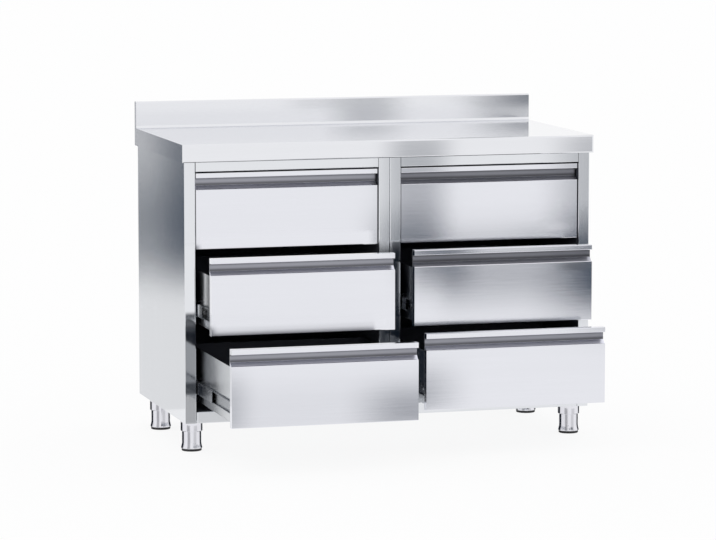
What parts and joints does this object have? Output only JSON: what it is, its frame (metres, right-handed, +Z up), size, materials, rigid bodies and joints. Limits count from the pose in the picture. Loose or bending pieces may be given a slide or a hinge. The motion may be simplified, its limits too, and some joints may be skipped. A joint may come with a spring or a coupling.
{
  "type": "drawer cabinet",
  "caption": "Free-standing stainless steel worktop cabinet with upstand, two columns of drawers with recessed grips on ball runners, and adjustable legs.",
  "frame": {"origin": "on the floor, under the middle of the worktop's outline", "axes": "+X to the right along the front, +Y to the back, +Z up; the drawers open towards -Y"},
  "size_m": [1.2, 0.979, 0.943],
  "materials": {
    "worktop_steel": "satin brushed stainless steel, grain along the width",
    "body_steel": "satin brushed stainless steel, grain upright",
    "front_steel": "satin brushed stainless steel, grain along the width",
    "box_steel": "mill finish stainless steel sheet",
    "plain_steel": "mill finish stainless steel sheet",
    "runner_steel": "bright zinc plated rolled steel",
    "leg_steel": "polished stainless steel",
    "screw_steel": "plain stainless steel",
    "pad_rubber": "black moulded rubber",
    "board": "bare chipboard"
  },
  "bodies": {
    "root": {"worktop": "worktop_steel", "worktop_core": "board", "worktop_stiffeners": "plain_steel", "side_panel_left": "body_steel", "side_panel_right": "body_steel", "side_liner_left": "plain_steel", "side_liner_right": "plain_steel", "centre_divider_left": "body_steel", "centre_divider_right": "body_steel", "back_panel": "plain_steel", "bottom_panel": "body_steel", "top_rails": "body_steel", "base_channels": "plain_steel", "leg_sleeves": "leg_steel", "leg_screws": "screw_steel", "back_panel_screws": "screw_steel", "cabinet_runners_top_left": "runner_steel", "cabinet_runners_top_right": "runner_steel", "cabinet_runners_middle_left": "runner_steel", "cabinet_runners_middle_right": "runner_steel", "cabinet_runners_bottom_left": "runner_steel", "cabinet_runners_bottom_right": "runner_steel"},
    "drawer_top_left": {"drawer_front_top_left": "front_steel", "drawer_box_top_left": "box_steel", "drawer_runners_top_left": "runner_steel", "drawer_screws_top_left": "screw_steel"},
    "telescope_top_left": {"telescope_runners_top_left": "runner_steel"},
    "drawer_top_right": {"drawer_front_top_right": "front_steel", "drawer_box_top_right": "box_steel", "drawer_runners_top_right": "runner_steel", "drawer_screws_top_right": "screw_steel"},
    "telescope_top_right": {"telescope_runners_top_right": "runner_steel"},
    "drawer_middle_left": {"drawer_front_middle_left": "front_steel", "drawer_box_middle_left": "box_steel", "drawer_runners_middle_left": "runner_steel", "drawer_screws_middle_left": "screw_steel"},
    "telescope_middle_left": {"telescope_runners_middle_left": "runner_steel"},
    "drawer_middle_right": {"drawer_front_middle_right": "front_steel", "drawer_box_middle_right": "box_steel", "drawer_runners_middle_right": "runner_steel", "drawer_screws_middle_right": "screw_steel"},
    "telescope_middle_right": {"telescope_runners_middle_right": "runner_steel"},
    "drawer_bottom_left": {"drawer_front_bottom_left": "front_steel", "drawer_box_bottom_left": "box_steel", "drawer_runners_bottom_left": "runner_steel", "drawer_screws_bottom_left": "screw_steel"},
    "telescope_bottom_left": {"telescope_runners_bottom_left": "runner_steel"},
    "drawer_bottom_right": {"drawer_front_bottom_right": "front_steel", "drawer_box_bottom_right": "box_steel", "drawer_runners_bottom_right": "runner_steel", "drawer_screws_bottom_right": "screw_steel"},
    "telescope_bottom_right": {"telescope_runners_bottom_right": "runner_steel"},
    "foot_front_left": {"foot_front_left": "leg_steel", "pad_front_left": "pad_rubber"},
    "foot_front_right": {"foot_front_right": "leg_steel", "pad_front_right": "pad_rubber"},
    "foot_rear_left": {"foot_rear_left": "leg_steel", "pad_rear_left": "pad_rubber"},
    "foot_rear_right": {"foot_rear_right": "leg_steel", "pad_rear_right": "pad_rubber"}
  },
  "joints": [
    {"name": "drawer_slide_top_left", "type": "slide", "parent": "root", "child": "drawer_top_left", "axis": [0, -1, 0], "range_m": [0, 0.47]},
    {"name": "telescope_slide_top_left", "type": "slide", "parent": "root", "child": "telescope_top_left", "axis": [0, -1, 0], "range_m": [0, 0.235]},
    {"name": "drawer_slide_top_right", "type": "slide", "parent": "root", "child": "drawer_top_right", "axis": [0, -1, 0], "range_m": [0, 0.47]},
    {"name": "telescope_slide_top_right", "type": "slide", "parent": "root", "child": "telescope_top_right", "axis": [0, -1, 0], "range_m": [0, 0.235]},
    {"name": "drawer_slide_middle_left", "type": "slide", "parent": "root", "child": "drawer_middle_left", "axis": [0, -1, 0], "range_m": [-0.175, 0.295]},
    {"name": "telescope_slide_middle_left", "type": "slide", "parent": "root", "child": "telescope_middle_left", "axis": [0, -1, 0], "range_m": [-0.0875, 0.1475]},
    {"name": "drawer_slide_middle_right", "type": "slide", "parent": "root", "child": "drawer_middle_right", "axis": [0, -1, 0], "range_m": [-0.13, 0.34]},
    {"name": "telescope_slide_middle_right", "type": "slide", "parent": "root", "child": "telescope_middle_right", "axis": [0, -1, 0], "range_m": [-0.065, 0.17]},
    {"name": "drawer_slide_bottom_left", "type": "slide", "parent": "root", "child": "drawer_bottom_left", "axis": [0, -1, 0], "range_m": [-0.4, 0.07]},
    {"name": "telescope_slide_bottom_left", "type": "slide", "parent": "root", "child": "telescope_bottom_left", "axis": [0, -1, 0], "range_m": [-0.2, 0.035]},
    {"name": "drawer_slide_bottom_right", "type": "slide", "parent": "root", "child": "drawer_bottom_right", "axis": [0, -1, 0], "range_m": [-0.245, 0.225]},
    {"name": "telescope_slide_bottom_right", "type": "slide", "parent": "root", "child": "telescope_bottom_right", "axis": [0, -1, 0], "range_m": [-0.1225, 0.1125]},
    {"name": "foot_screw_front_left", "type": "slide", "parent": "root", "child": "foot_front_left", "axis": [0, 0, 1], "range_m": [-0.015, 0.01]},
    {"name": "foot_screw_front_right", "type": "slide", "parent": "root", "child": "foot_front_right", "axis": [0, 0, 1], "range_m": [-0.015, 0.01]},
    {"name": "foot_screw_rear_left", "type": "slide", "parent": "root", "child": "foot_rear_left", "axis": [0, 0, 1], "range_m": [-0.015, 0.01]},
    {"name": "foot_screw_rear_right", "type": "slide", "parent": "root", "child": "foot_rear_right", "axis": [0, 0, 1], "range_m": [-0.015, 0.01]}
  ],
  "couplings": [
    {"joint": "telescope_slide_top_left", "follows": "drawer_slide_top_left", "ratio": 0.5},
    {"joint": "telescope_slide_top_right", "follows": "drawer_slide_top_right", "ratio": 0.5},
    {"joint": "telescope_slide_middle_left", "follows": "drawer_slide_middle_left", "ratio": 0.5},
    {"joint": "telescope_slide_middle_right", "follows": "drawer_slide_middle_right", "ratio": 0.5},
    {"joint": "telescope_slide_bottom_left", "follows": "drawer_slide_bottom_left", "ratio": 0.5},
    {"joint": "telescope_slide_bottom_right", "follows": "drawer_slide_bottom_right", "ratio": 0.5}
  ]
}
